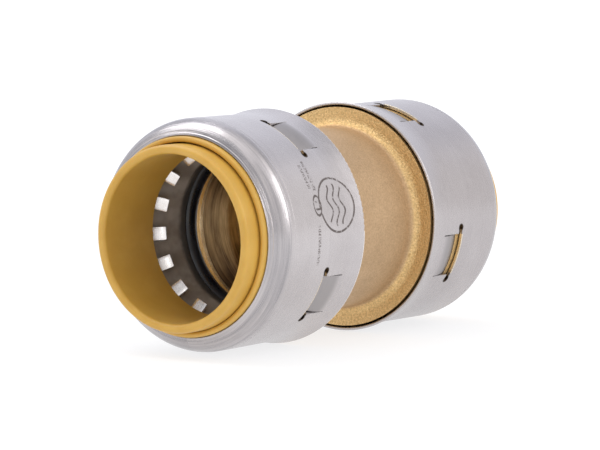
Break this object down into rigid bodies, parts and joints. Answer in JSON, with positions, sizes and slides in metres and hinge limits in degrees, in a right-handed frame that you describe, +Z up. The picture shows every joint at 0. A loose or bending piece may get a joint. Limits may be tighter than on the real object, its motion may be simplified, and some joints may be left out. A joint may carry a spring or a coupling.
{
  "type": "push fit coupling",
  "caption": "Straight push-fit pipe coupling: brass body, slotted steel caps over both ends, and plastic release collars that slide in to free the tube.",
  "frame": {"origin": "middle of the tube stop, on the axis of the coupling, which is also the middle of the bounding box", "axes": "X along the axis of the tubes, end A at -X and end B at +X; Z up as the part lies"},
  "size_m": [0.0606, 0.032, 0.032],
  "materials": {
    "brass": "sand-cast barrel, turned sockets",
    "cap_steel": "satin, polished at the rolled nose",
    "yellow_plastic": "moulded, satin",
    "spring_steel": "bright spring steel",
    "grey_plastic": "moulded, matt",
    "seal_rubber": "lubricated rubber"
  },
  "bodies": {
    "coupling": {"body": "brass", "cap_a": "cap_steel", "cap_b": "cap_steel", "guide_ring_a": "yellow_plastic", "guide_ring_b": "yellow_plastic", "grip_ring_a": "spring_steel", "grip_ring_b": "spring_steel", "seal_guard_a": "grey_plastic", "seal_guard_b": "grey_plastic", "oring_a": "seal_rubber", "oring_b": "seal_rubber"},
    "collar_a": {"release_collar_a": "yellow_plastic"},
    "collar_b": {"release_collar_b": "yellow_plastic"}
  },
  "joints": [
    {"name": "release_a", "type": "slide", "parent": "coupling", "child": "collar_a", "axis": [1, 0, 0], "range_m": [0, 0.00176], "stiffness_N_per_m": 4000, "deforming": ["grip_ring_a"]},
    {"name": "release_b", "type": "slide", "parent": "coupling", "child": "collar_b", "axis": [-1, 0, 0], "range_m": [0, 0.00176], "stiffness_N_per_m": 4000, "deforming": ["grip_ring_b"]}
  ]
}
